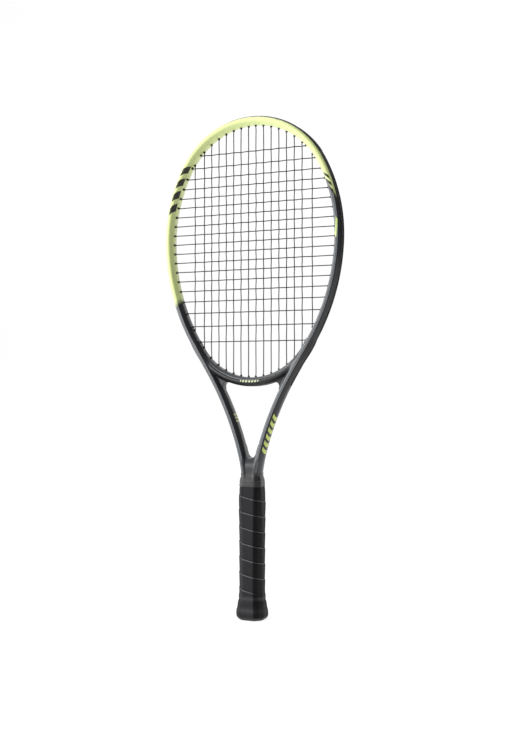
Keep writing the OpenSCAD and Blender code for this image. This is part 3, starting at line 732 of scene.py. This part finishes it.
def side_hole(z):
    if z > (crown_c + polar(CROWN_R, A1))[1]:
        c, r = crown_c, CROWN_R - BEND
    elif z > (flank_c + polar(FLANK_R, A2))[1]:
        c, r = flank_c, FLANK_R - BEND
    else:
        c, r = shoulder_c, SHOULDER_R - BEND
    dz = z - c[1]
    dx = math.sqrt(r * r - dz * dz)
    return np.array([c[0] + dx, z]), math.degrees(math.atan2(dz, dx)), BEND


def shoulder_hole(x):
    r = SHOULDER_R - BEND
    dx = x - shoulder_c[0]
    dz = -math.sqrt(r * r - dx * dx)
    return np.array([x, shoulder_c[1] + dz]), math.degrees(math.atan2(dz, dx)), BEND


def bridge_hole(x):
    r = BRIDGE_R - LIP - GAP
    dz = -math.sqrt(r * r - x * x)
    return np.array([x, bridge_c[1] + dz]), math.degrees(math.atan2(dz, x)), BRIDGE_BEND


def main_top(k):
    return crown_hole(main_x(k))


def main_bottom(k):
    x = main_x(k)
    if k <= BRIDGE_MAINS:
        return bridge_hole(x)
    if k <= BRIDGE_MAINS + 2:
        m = bridge_hole(x)[0]
        return m, A3, float(np.dot(leg_n, leg_start - m))
    return shoulder_hole(x)


guard_mains = [main_top(k) for k in range(1, MAINS + 1)]
guard_crosses = [side_hole(cross_z(1))]
side_mains = [main_bottom(k) for k in range(BRIDGE_MAINS + 1, MAINS + 1)]
side_crosses = [side_hole(cross_z(j)) for j in range(2, CROSSES + 1)]
bridge_mains = [main_bottom(k) for k in range(1, BRIDGE_MAINS + 1)]


def turned(points):
    return points * np.array([-1, -1, 1])


def add_collar(parts, hole, side, inside, turn):
    """A grommet's moulded collar, where the string comes out into the bed: a short cone with a wide root."""
    place, angle, _ = hole
    out = polar(1, angle)
    base = np.array([place[0], side * OFFSET, place[1]])
    way = np.array([out[0], 0, out[1]])
    across = np.array([-out[1], 0, out[0]])
    deep = np.array([0.0, 1.0, 0.0])
    profile = [(0.15, 0.78), (-0.25, 0.98), (-0.35, 1.1), (-0.2, 1.28), (0.4, 1.42), (1.3, 1.62),
               (inside + 0.1, 1.85), (inside + 0.9, 2.3)]
    cols = 20
    a = np.arange(cols) * 2 * math.pi / cols
    round_it = np.cos(a)[:, None] * across + np.sin(a)[:, None] * deep
    rings = np.array([base + way * h + r * round_it for h, r in profile])
    parts.tube(turned(rings) if turn else rings)


SWEEP_STEP = 2.2


def sweep_rail(parts, outline, s_from, s_to, taper=None):
    """An outline [(u, v)] carried along the centre line. A negative length is on the left."""
    count = max(2, int(abs(s_to - s_from) / SWEEP_STEP))
    rings = []
    for s in np.linspace(s_from, s_to, count + 1):
        place, angle = rail_point(abs(s))
        out = polar(1, angle)
        if s < 0:
            place, out = place * [-1, 1], out * [-1, 1]
        shape = np.array(outline if taper is None else taper(outline, s))
        rings.append(np.stack([place[0] + shape[:, 0] * out[0], shape[:, 1],
                               place[1] + shape[:, 0] * out[1]], 1))
    parts.tube(rings)


GUARD_EDGE_S = CROWN_R * math.radians(90 - 32.5)
SEAT_GAP, STRIP_FLOOR = 0.05, 0.85
floor_u = SEAT + SEAT_GAP + STRIP_FLOOR
strip_top = HALF_W - 0.1
half_strip = [(SEAT + SEAT_GAP, 3.4), (strip_top - 0.25, 3.42), (strip_top, 3.2), (strip_top, 2.75),
              (strip_top - 0.3, 2.5), (floor_u + 0.2, 2.3), (floor_u, 2.0)]
strip_outline = [(a, -b) for a, b in half_strip] + half_strip[::-1]
for side, turn in (("right", False), ("left", True)):
    strip = Parts()
    sweep_rail(strip, strip_outline, GUARD_EDGE_S + 0.3, S3 + 66)
    strip.points = [turned(q) if turn else q for q in strip.points]
    for hole in side_mains:
        add_collar(strip, hole, -1, GAP + LIP, turn)
    for hole in side_crosses:
        add_collar(strip, hole, 1, GAP + LIP, turn)
    finish(strip.make(f"grommet_strip_of_{side}_side", nodes=(f"grommet_strip_{side}",), slot="black_nylon",
                      material=NYLON), 40)


def surface_u(v):
    """How far out the tube's wall is at a depth v."""
    lo, hi = 0.0, 8.0
    for _ in range(30):
        mid = (lo + hi) / 2
        lo, hi = (mid, hi) if tube(np.array(mid), np.array(v), np.array(0.0)) < 0 else (lo, mid)
    return lo


WING = 6.6
outer = [(surface_u(v) + h, v) for v, h in ((WING - 0.15, 0.15), (WING - 0.9, 0.45), (5.2, 0.5), (4.2, 0.55),
                                            (3.3, 0.6), (2.9, 0.6))]
inner = [(surface_u(v) - 0.25, v) for v in (4.0, 5.0, WING)]
half_guard = [(SEAT + SEAT_GAP, 3.4), (surface_u(3.6) - 0.3, 3.45)] + inner + outer
half_guard += [(HALF_W + 0.3, 2.55), (floor_u + 0.3, 2.35), (floor_u, 2.0)]
guard_outline = half_guard + [(a, -b) for a, b in half_guard[::-1]]


def thin_end(outline, s):
    """The guard's wings narrow towards its ends."""
    t = float(step(GUARD_EDGE_S - 14, GUARD_EDGE_S, abs(s)))
    return [(a, math.copysign(min(abs(b), WING - t * 2.6), b)) for a, b in outline]


guard = Parts()
sweep_rail(guard, guard_outline, -GUARD_EDGE_S, GUARD_EDGE_S, taper=thin_end)
for turn in (False, True):
    for hole in guard_mains:
        add_collar(guard, hole, -1, GAP + LIP, turn)
    for hole in guard_crosses:
        add_collar(guard, hole, 1, GAP + LIP, turn)
finish(guard.make("bumper", nodes=("bumper_guard",), slot="black_nylon", material=NYLON), 40)

# strip under the bridge
b_seat = BRIDGE_R + BRIDGE_H - GROOVE_DEPTH + SEAT_GAP
b_floor, b_top = b_seat + STRIP_FLOOR, BRIDGE_R + BRIDGE_H - 0.15
b_outline = [(b_seat, -3.4), (b_top, -3.4), (b_top, -2.7), (b_floor, -2.3), (b_floor, 2.3), (b_top, 2.7),
             (b_top, 3.4), (b_seat, 3.4)]
under = Parts()
rings = []
for a in np.linspace(270 - 31, 270 + 31, 60):
    d = polar(1, a)
    rings.append([[bridge_c[0] + r * d[0], v, bridge_c[1] + r * d[1]] for r, v in b_outline])
under.tube(rings)
for turn in (False, True):
    for hole in bridge_mains:
        add_collar(under, hole, -1, GAP + LIP, turn)
finish(under.make("bridge_strip", nodes=("bridge_grommet_strip",), slot="black_nylon", material=NYLON), 40)


# ---------------------------------------------------------------- strings
GAUGE = 1.42
R = GAUGE / 2
CORNER_R, CORNER_STEPS = 0.9, 3
MAIN_WAVE, CROSS_WAVE = 0.46, 0.96


def exit_of(hole):
    """Where the string comes out of a hole on to the strip's floor."""
    seat = BRIDGE_H / 2 - GROOVE_DEPTH if hole[2] == BRIDGE_BEND else SEAT
    return hole[0] + polar(hole[2] + seat + SEAT_GAP + STRIP_FLOOR + R + 0.3, hole[1])


def at(xz, y):
    return np.array([xz[0], y, xz[1]])


def rounded(way):
    """A way of straight stretches with its corners rounded."""
    out = [way[0]]
    for a, b, c in zip(way, way[1:], way[2:]):
        ab, cb = a - b, c - b
        la, lc = np.linalg.norm(ab), np.linalg.norm(cb)
        cosine = np.dot(ab, cb) / (la * lc)
        if cosine < -0.995:
            out.append(b)
            continue
        t = min(CORNER_R, 0.45 * la, 0.45 * lc)
        p, q = b + ab / la * t, b + cb / lc * t
        for i in range(CORNER_STEPS + 1):
            k = i / CORNER_STEPS
            out.append((1 - k) ** 2 * p + 2 * k * (1 - k) * b + k * k * q)
    out.append(way[-1])
    return out


def thick_line(way, radii, sides=10):
    """Rings of a round line along a way, without twist."""
    way = np.array(way)
    rows = len(way)
    tangent = np.gradient(way, axis=0)
    tangent /= np.maximum(np.linalg.norm(tangent, axis=1), 1e-9)[:, None]
    normal = np.cross(tangent[0], [0.3, 1.0, 0.2])
    normal /= np.linalg.norm(normal)
    a = np.arange(sides) * 2 * math.pi / sides
    rings = []
    for i in range(rows):
        normal = normal - np.dot(normal, tangent[i]) * tangent[i]
        normal /= np.linalg.norm(normal)
        other = np.cross(tangent[i], normal)
        rings.append(way[i] + radii[i] * (np.cos(a)[:, None] * normal + np.sin(a)[:, None] * other))
    return np.array(rings)


bed = sorted([-main_x(k) for k in range(1, MAINS + 1)] + [main_x(k) for k in range(1, MAINS + 1)])
rows_z = [cross_z(j) for j in range(1, CROSSES + 1)]


def over(i, j):
    """+1 where the cross string j passes behind main i, and -1 where it passes in front."""
    return 1 if (i + j) % 2 == 0 else -1


def wave(stops, values, ends, count=6):
    """Points whose offset swings smoothly from one stop's value to the next, and to nothing at the ends."""
    knots = [(ends[0], 0.0)] + list(zip(stops, values)) + [(ends[1], 0.0)]
    out = []
    for (p, a), (q, b) in zip(knots, knots[1:]):
        for i in range(count):
            t = i / count
            out.append((p + (q - p) * t, a + (b - a) * (0.5 - 0.5 * math.cos(math.pi * t))))
    out.append(knots[-1])
    return out


def main_length(k, right):
    """One main string from its top hole down to its bottom hole, on the right or left side."""
    top, bottom = main_top(k), main_bottom(k)
    sign = 1 if right else -1
    x = sign * main_x(k)
    y0 = -sign * OFFSET
    i = bed.index(x) + 1
    zt, zb = top[0][1], bottom[0][1]
    stops = [(z, -over(i, j + 1) * MAIN_WAVE) for j, z in enumerate(rows_z)
             if zb + 5 < z < zt - 5 and side_hole(z)[0][0] > abs(x) + 2]
    line = wave([q[0] for q in stops], [q[1] for q in stops], (zt - 3.5, zb + 3.5))
    way = [at((x, z), y) for z, y in line]
    head = [at(np.array([sign, 1]) * exit_of(top), y0), at(np.array([sign, 1]) * top[0], y0)]
    foot = [at(np.array([sign, 1]) * bottom[0], y0), at(np.array([sign, 1]) * exit_of(bottom), y0)]
    return head, way, foot


def string_way(k, right, down):
    head, way, foot = main_length(k, right)
    line = head + way + foot
    return line if down else line[::-1]


def knot_way(place, y, along):
    """A tie-off: the string's end along the strip, with a knot in it."""
    stops = ((1.2, R), (2.0, R), (2.25, 0.95), (3.2, 1.05), (4.2, 0.95), (4.5, R), (5.6, R))
    return [at(place + d * along, y) for d, _ in stops], [r for _, r in stops]


order = [(k, False, k % 2 == 0) for k in range(MAINS, 0, -1)]
order += [(k, True, k % 2 == 1) for k in range(1, MAINS + 1)]
way = []
for k, right, down in order:
    way += string_way(k, right, down)
way = rounded(way)
radii = [R] * len(way)
hole = main_top(MAINS)
for sign in (1, -1):
    along = polar(1, hole[1] - 90) * [sign, 1]
    tail, thick = knot_way(exit_of(hole) * [sign, 1], -sign * OFFSET, along)
    if sign > 0:
        way, radii = way + tail, radii + thick
    else:
        way, radii = tail[::-1] + way, thick[::-1] + radii
make_tube("mains", thick_line(way, radii), nodes=("main_string",), slot="string", material=STRING)

way = []
for j in range(1, CROSSES + 1):
    z = cross_z(j)
    hole = side_hole(z)
    reach_x = hole[0][0]
    stops = [(x, over(i + 1, j) * CROSS_WAVE) for i, x in enumerate(bed) if abs(x) < reach_x - 2]
    line = wave([q[0] for q in stops], [q[1] for q in stops], (-reach_x + 2.5, reach_x - 2.5))
    row = [at((x, z), y) for x, y in line]
    left = [at(exit_of(hole) * [-1, 1], -OFFSET), at(hole[0] * [-1, 1], -OFFSET)]
    right = [at(hole[0], OFFSET), at(exit_of(hole), OFFSET)]
    full = left + row + right
    way += full if j % 2 == 1 else full[::-1]
way = rounded(way)
radii = [R] * len(way)
hole = side_hole(cross_z(1))
tail, thick = knot_way(exit_of(hole) * [-1, 1], -OFFSET, polar(1, hole[1] + 90) * [-1, 1])
way, radii = tail[::-1] + way, thick[::-1] + radii
hole = side_hole(cross_z(CROSSES))
tail, thick = knot_way(exit_of(hole), OFFSET, polar(1, hole[1] - 90))
way, radii = way + tail, radii + thick
make_tube("crosses", thick_line(way, radii), nodes=("cross_string",), slot="string", material=STRING)


# ---------------------------------------------------------------- handle
HANDLE_W, HANDLE_D = 33.0, 29.2
DEPTH_RATIO = HANDLE_D / HANDLE_W
DIAGONAL = (1 + DEPTH_RATIO) / math.sqrt(2) - 0.39
GRIP_TOP, TAPE_TOP, TAPE_BOTTOM = 188.0, 198.4, 180.0
SOFT_POWER, SOFT_CORNER, TOP_CORNER = 20.0, 0.07, 0.11


def octagon(half, theta, power=40.0, corner=0.0):
    """Distance from the axis to a rounded octagon's wall at each angle; half is half its width."""
    c, s = np.cos(theta), np.sin(theta)
    d = DIAGONAL + corner
    g = (np.abs(c) ** power + np.abs(s / DEPTH_RATIO) ** power
         + np.abs((c + s) / math.sqrt(2) / d) ** power + np.abs((c - s) / math.sqrt(2) / d) ** power)
    return half * g ** (-1 / power)


# Half the grip's width at heights from the butt end up
HANDLE_LINE = [(0, 17.0), (1, 18.5), (2.4, 19.6), (4.4, 20.3), (7, 20.6), (10, 20.6), (13, 20.3), (17, 19.6),
               (21, 18.9), (25, 18.3), (29, 17.8), (32, 17.6), (34, 17.5), (36, 17.2), (40, 17.1), (150, 17.1),
               (160, 16.9), (175, 16.1), (188, 15.3), (196, 14.8)]
PITCH_Z = 21.0
COLS = 128
theta = -math.pi / 2 + np.arange(COLS) * 2 * math.pi / COLS


def half_width(z):
    return np.interp(z, *zip(*HANDLE_LINE))


def level_ring(r, z):
    """The points at distances r from the axis, all round, at height z."""
    return np.stack([r * np.cos(theta), r * np.sin(theta), np.full(COLS, z)], 1)


def bump_at(value, middle, width):
    return np.exp(-((value - middle) / width) ** 2)


def shaded_bevels(turn):
    """Painted shade on the slanted faces: how dark they are, most on the front right and back left, next to
    the wide faces.
    """
    a = np.degrees(np.arctan2(np.abs(np.sin(turn)), np.abs(np.cos(turn))))
    shade_side = np.sin(2 * turn) < 0
    return (1 - step(62.0, 65.0, a)) * np.where(shade_side, step(20.0, 52.0, a), 0.65 * step(17.0, 20.0, a))


def grip_surface():
    """The wrapped grip: a strip that winds up the octagon, each turn lapped over the one below."""
    zs = np.concatenate([np.arange(4.4, GRIP_TOP, 0.55), [GRIP_TOP]])
    Z, T = np.meshgrid(zs, theta, indexing="ij")
    turns = (T + math.pi / 2) / (2 * math.pi)
    turns = (turns + 0.5) % 1 - 0.5
    phase = Z / PITCH_Z + turns + 0.13
    p = phase % 1
    lift = 0.55 * p + 0.3 * bump_at(1 - p, 0.02, 0.022) - 0.5 * bump_at(p, 0.0, 0.03)
    fade = step(34.0, 40.0, Z) * (1 - 0.6 * step(170.0, 181.0, Z))
    rings = 0.3 * bump_at(Z, 31.5, 1.6) - 0.45 * bump_at(Z, 27.0, 1.4) \
        + 0.25 * bump_at(Z, 23.0, 2.0) - 0.3 * bump_at(Z, 17.0, 1.6)
    creases = 0.2 * np.sin((Z - 4.5 * np.sin(T + 0.6)) * 1.5) * bump_at(Z, 181.5, 4.0)
    soft = 1 - step(10.0, 34.0, Z)
    radius = octagon(half_width(Z), T, corner=TOP_CORNER * step(100.0, GRIP_TOP, Z)) * (1 - soft) \
        + octagon(half_width(Z) + 0.2, T, SOFT_POWER, SOFT_CORNER) * soft \
        + (lift - 0.25) * fade + rings + creases
    # where the crease at each seam is painted dark as shade
    seam_shade = bump_at(p, 0.01, 0.03) * fade
    # painted highlight along each wrap edge, and two broad painted sheen bands near the butt
    highlight_ridge = bump_at(1 - p, 0.025, 0.03) * fade + 0.22 * bump_at(Z, 29.5, 2.4) + 0.16 * bump_at(Z, 14.0, 3.2)
    values = {"seam_shade": seam_shade, "wrap_row": phase, "wrap_turn": T * 16.0, "highlight_ridge": highlight_ridge, "corner": shaded_bevels(T)}
    return np.stack([radius * np.cos(T), radius * np.sin(T), Z], -1), values


wall, values = grip_surface()
grip = make_tube("grip_wrap", wall, nodes=("grip",), slot="grip_pu", material=LEATHER)
set_attributes(grip, values)
sharpen(grip, 60)


def shaft_reach(z):
    """Distance from the axis to the frame's skin at each angle of a level cut."""
    c, s = np.cos(theta), np.sin(theta)
    near, far = np.full(COLS, 4.0), np.full(COLS, 24.0)
    for _ in range(26):
        mid = (near + far) / 2
        inside = frame_field(mid * c, mid * s, np.full(COLS, z)) < 0
        near, far = np.where(inside, mid, near), np.where(inside, far, mid)
    return near


def blend_to_shaft():
    """Finishing tape: a thin band that runs from the grip on to the shaft, with soft wrinkles."""
    wrap_end = octagon(half_width(GRIP_TOP), theta, corner=TOP_CORNER) + 0.25
    rings = []
    for z in np.arange(TAPE_BOTTOM, TAPE_TOP + 0.01, 0.4):
        if z < GRIP_TOP:
            r = octagon(half_width(z), theta, corner=TOP_CORNER * float(step(100.0, GRIP_TOP, z))) + 0.25
        else:
            hull = shaft_reach(z) + 0.4
            t = float(step(GRIP_TOP, TAPE_TOP - 1.5, z))
            r = np.maximum(hull, wrap_end * (1 - t) + hull * t)
        slope = z - TAPE_BOTTOM - 2.2 * np.sin(theta + 0.6)
        r = r + 0.26 * bump_at(slope, 5.0, 0.55) + 0.2 * bump_at(slope, 8.4, 0.6) \
            - 0.14 * bump_at(slope, 6.4, 0.7) + 0.16 * bump_at(slope, 12.0, 0.6)
        edge = min(z - TAPE_BOTTOM, TAPE_TOP - z)
        rings.append(level_ring(r + 0.12 - 0.3 * max(0.0, 1 - edge / 0.5), z))
    return rings


finish(make_tube("tape", blend_to_shaft(), nodes=("finishing_tape",), slot="tape_vinyl", material=TAPE), 50)

# butt cap: a rounded rim, with the door's opening in its end
CAP_PROFILE = [(5.0, 19.6), (4.4, 20.1), (3.4, 19.9), (2.2, 19.3), (1.2, 18.4), (0.5, 17.3), (0.1, 16.2),
               (0.0, 15.2)]
DOOR_W, DOOR_D, DOOR_DIAGONAL, DOOR_POWER = 9.5, 7.5, 10.0, 10.0


def door_ring(grow, z):
    """The door's outline, set out by grow."""
    c, s = np.cos(theta), np.sin(theta)
    w, d, e = DOOR_W + grow, DOOR_D + grow, DOOR_DIAGONAL + grow
    faces = (c / w, s / d, (c + s) / math.sqrt(2) / e, (c - s) / math.sqrt(2) / e)
    return level_ring(sum(np.abs(f) ** DOOR_POWER for f in faces) ** (-1 / DOOR_POWER), z)


rings = [level_ring(octagon(half + 0.2, theta, SOFT_POWER, SOFT_CORNER), z) for z, half in CAP_PROFILE]
rings += [door_ring(grow, z) for grow, z in ((1.6, 0.0), (0.55, 0.1), (0.3, 0.4), (0.3, 1.8))]
finish(make_tube("butt_end", rings, nodes=("butt_cap",), slot="cap_plastic", material=CAP), 45)

DOOR_PROFILE = [(-2.6, 6.5), (-1.5, 6.5), (-1.4, 1.6), (0.0, 1.5), (0.0, 0.35), (-0.35, 0.0), (-1.8, 0.0),
                (-2.1, 0.25), (-4.5, 0.25), (-4.8, 0.05)]
finish(make_tube("cap_door", [door_ring(grow, z) for grow, z in DOOR_PROFILE], body="door",
                 nodes=("butt_cap_door",), slot="cap_plastic", material=CAP), 45)

for node, material in (("pallet_front", FOAM), ("pallet_rear", FOAM), ("butt_cap_staples", STEEL)):
    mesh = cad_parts[node].data
    mesh.materials.clear()
    mesh.materials.append(material)


# ---------------------------------------------------------------- stage, light and camera
VIEW_TURN = math.radians(24)


def studio_white():
    """Pale sweep that glows behind the racket and stays dimmer in front of it."""
    n = Nodes("studio_white")
    p = n.place()
    n.set(Base_Color=n.mix(n.noise(p, 6.0), (0.3, 0.3, 0.3, 1), (0.32, 0.32, 0.32, 1)))
    x, y, _ = n.split(p)
    away = n.math("ADD", n.math("MULTIPLY", x, -math.sin(VIEW_TURN)),
                  n.math("MULTIPLY", y, math.cos(VIEW_TURN)))
    n.shader.inputs["Emission Color"].default_value = (1, 1, 1, 1)
    n.set(Emission_Strength=n.ramp(away, -1.1, -0.5, 0.26, 0.86))
    n.shader.inputs["Roughness"].default_value = 0.9
    n.shader.inputs["Specular IOR Level"].default_value = 0.1
    return n.material


def studio():
    """Floor that curves up into a back wall. Metres."""
    half, front, back, bend, height = 9.0, -9.0, 3.0, 1.5, 7.0
    curve = np.linspace(0, math.pi / 2, 14)[1:]
    profile = [(front, 0.0), (back, 0.0)]
    profile += [(back + bend * math.sin(a), bend - bend * math.cos(a)) for a in curve]
    profile += [(back + bend, height)]
    c, s = math.cos(VIEW_TURN), math.sin(VIEW_TURN)
    points = [(w * c - d * s, w * s + d * c, h - 0.0002) for d, h in profile for w in (-half, half)]
    faces = [[2 * i - 2, 2 * i - 1, 2 * i + 1, 2 * i] for i in range(1, len(profile))]
    make("studio_floor", np.array(points), faces, body=None, material=studio_white(), scale=1.0)


studio()


def round_place(azimuth, distance, height):
    a = math.radians(azimuth)
    return (distance * math.sin(a), -distance * math.cos(a), height)


def lamp(name, place, aim, size, power):
    data = bpy.data.lights.new(name, "AREA")
    data.shape = "RECTANGLE"
    data.size, data.size_y = size
    data.energy = power
    light = bpy.data.objects.new(name, data)
    light.location = place
    light.rotation_mode = "QUATERNION"
    light.rotation_quaternion = (Vector(aim) - Vector(place)).to_track_quat("-Z", "Y")
    bpy.context.scene.collection.objects.link(light)


lamp("key_left", round_place(-68, 2.0, 0.95), (0, 0, 0.4), (0.9, 1.7), 33)
lamp("front_left", round_place(-34, 2.2, 0.75), (0, 0, 0.5), (0.9, 1.3), 24)
lamp("edge_low", round_place(27, 0.85, 0.1), (0, 0, 0.26), (0.22, 0.34), 0.3)
lamp("side_right", round_place(152, 2.0, 0.6), (0, 0, 0.3), (0.8, 1.6), 3)
lamp("top_soft", (-0.4, -0.8, 2.3), (0, 0, 0.35), (1.0, 1.0), 22)

world = bpy.data.worlds.new("studio_air")
bpy.context.scene.world = world
world.use_nodes = True
air = world.node_tree.nodes["Background"]
air.inputs["Color"].default_value = (1, 1, 1, 1)
air.inputs["Strength"].default_value = 0.1

CAMERA_AWAY, CAMERA_HEIGHT = 1.388, 0.3184
PITCH_UP, YAW = math.radians(0.91), math.radians(0.183)
camera_data = bpy.data.cameras.new("camera")
camera_data.sensor_width = 36.0
camera_data.lens = 49.6282
camera_data.clip_start, camera_data.clip_end = 0.05, 60
camera = bpy.data.objects.new("camera", camera_data)
camera.location = (CAMERA_AWAY * math.sin(VIEW_TURN), -CAMERA_AWAY * math.cos(VIEW_TURN), CAMERA_HEIGHT)
forward = Vector((-math.sin(VIEW_TURN - YAW), math.cos(VIEW_TURN - YAW), math.tan(PITCH_UP)))
camera.rotation_mode = "QUATERNION"
camera.rotation_quaternion = forward.to_track_quat("-Z", "Y")
bpy.context.scene.collection.objects.link(camera)
bpy.context.scene.camera = camera
bpy.context.scene.view_settings.view_transform = "Standard"
